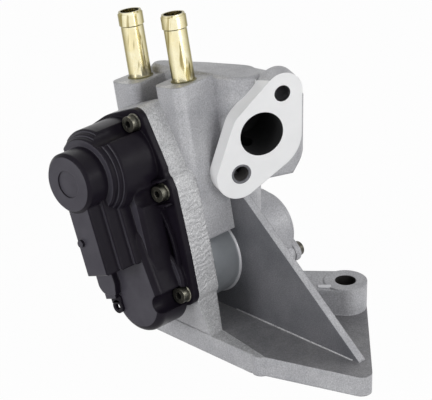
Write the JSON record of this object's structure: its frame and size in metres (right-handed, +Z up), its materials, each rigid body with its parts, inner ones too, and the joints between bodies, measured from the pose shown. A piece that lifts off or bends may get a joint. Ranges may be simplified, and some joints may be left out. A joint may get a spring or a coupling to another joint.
{
  "type": "egr valve",
  "caption": "Cooled exhaust gas valve: cast housing with gas flange and coolant tubes, geared motor drive under a dark cover, and a cam that lifts a poppet.",
  "frame": {"origin": "on the underside of the foot, below the stem axis", "axes": "+Z up out of the foot, +X along the stem from the drive towards the rear cap, +Y away from the gas flange"},
  "size_m": [0.1331, 0.1689, 0.1742],
  "materials": {
    "cast_housing": "satin as-cast",
    "cover_plastic": "satin moulded",
    "seal_rubber": "matte",
    "black_screw": "black oxide satin",
    "gear_plastic": "satin moulded",
    "steel_bright": "ground",
    "brass_gear": "machined",
    "motor_steel": "drawn",
    "copper": "machined copper",
    "carbon": "matte carbon",
    "ferrite": "matte",
    "valve_steel": "machined heat resistant steel",
    "bronze": "sintered",
    "zinc_tube": "zinc plated",
    "gasket_steel": "embossed sheet",
    "tinned": "tinned copper alloy",
    "board": "solder mask"
  },
  "bodies": {
    "housing": {"valve_housing": "cast_housing", "actuator_cover": "cover_plastic", "cover_seal": "seal_rubber", "cover_screws": "black_screw", "output_spindle": "steel_bright", "idler_pins": "steel_bright", "motor_brushes": "carbon", "motor_can": "motor_steel", "motor_end_plate": "motor_steel", "motor_magnets": "ferrite", "return_spring": "steel_bright", "seat_washer": "steel_bright", "stem_seal": "seal_rubber", "stem_bush": "bronze", "seat_ring": "valve_steel", "rear_gasket": "gasket_steel", "rear_cap": "cast_housing", "rear_screws": "black_screw", "coolant_tube_near": "zinc_tube", "coolant_tube_far": "zinc_tube", "core_plug": "zinc_tube", "terminals": "tinned", "sensor_board": "board", "motor_snap_ring": "steel_bright", "wave_washer": "steel_bright"},
    "output_gear": {"output_gear": "gear_plastic", "sensor_magnet": "ferrite"},
    "idler_low": {"idler_gear_low": "gear_plastic"},
    "idler_high": {"idler_gear_high": "gear_plastic"},
    "rotor": {"motor_pinion": "brass_gear", "motor_shaft": "steel_bright", "motor_armature": "motor_steel", "motor_commutator": "copper"},
    "valve": {"poppet_valve": "valve_steel", "cam_follower": "steel_bright", "cross_pin": "steel_bright"},
    "roller_near": {"cam_roller_near": "steel_bright"},
    "roller_far": {"cam_roller_far": "steel_bright"}
  },
  "joints": [
    {"name": "output_turn", "type": "hinge", "parent": "housing", "child": "output_gear", "pos_m": [-0.035, 0, 0.0393], "axis": [1, 0, 0], "range_deg": [0, 80]},
    {"name": "idler_low_turn", "type": "hinge", "parent": "housing", "child": "idler_low", "pos_m": [-0.035, 0.00887, 0.06241], "axis": [1, 0, 0], "range_deg": [-184, 0]},
    {"name": "idler_high_turn", "type": "hinge", "parent": "housing", "child": "idler_high", "pos_m": [-0.041, 0.01639, 0.08201], "axis": [1, 0, 0], "range_deg": [0, 331.2]},
    {"name": "rotor_turn", "type": "hinge", "parent": "housing", "child": "rotor", "pos_m": [-0.047, 0.02285, 0.09882], "axis": [1, 0, 0], "range_deg": [-993.6, 0]},
    {"name": "valve_slide", "type": "slide", "parent": "housing", "child": "valve", "axis": [1, 0, 0], "range_m": [0, 0.005], "deforming": ["return_spring"]},
    {"name": "roller_near_turn", "type": "hinge", "parent": "valve", "child": "roller_near", "pos_m": [-0.0296, -0.0088, 0.0393], "axis": [0, 1, 0], "range_deg": [-292.33, 0]},
    {"name": "roller_far_turn", "type": "hinge", "parent": "valve", "child": "roller_far", "pos_m": [-0.0296, 0.0088, 0.0393], "axis": [0, 1, 0], "range_deg": [0, 292.33]}
  ],
  "couplings": [
    {"joint": "idler_low_turn", "follows": "output_turn", "ratio": -2.3},
    {"joint": "idler_high_turn", "follows": "output_turn", "ratio": 4.14},
    {"joint": "rotor_turn", "follows": "output_turn", "ratio": -12.42},
    {"joint": "valve_slide", "follows": "output_turn", "m_per_rad": 0.003581},
    {"joint": "roller_near_turn", "follows": "output_turn", "ratio": -3.6541},
    {"joint": "roller_far_turn", "follows": "output_turn", "ratio": 3.6541}
  ]
}
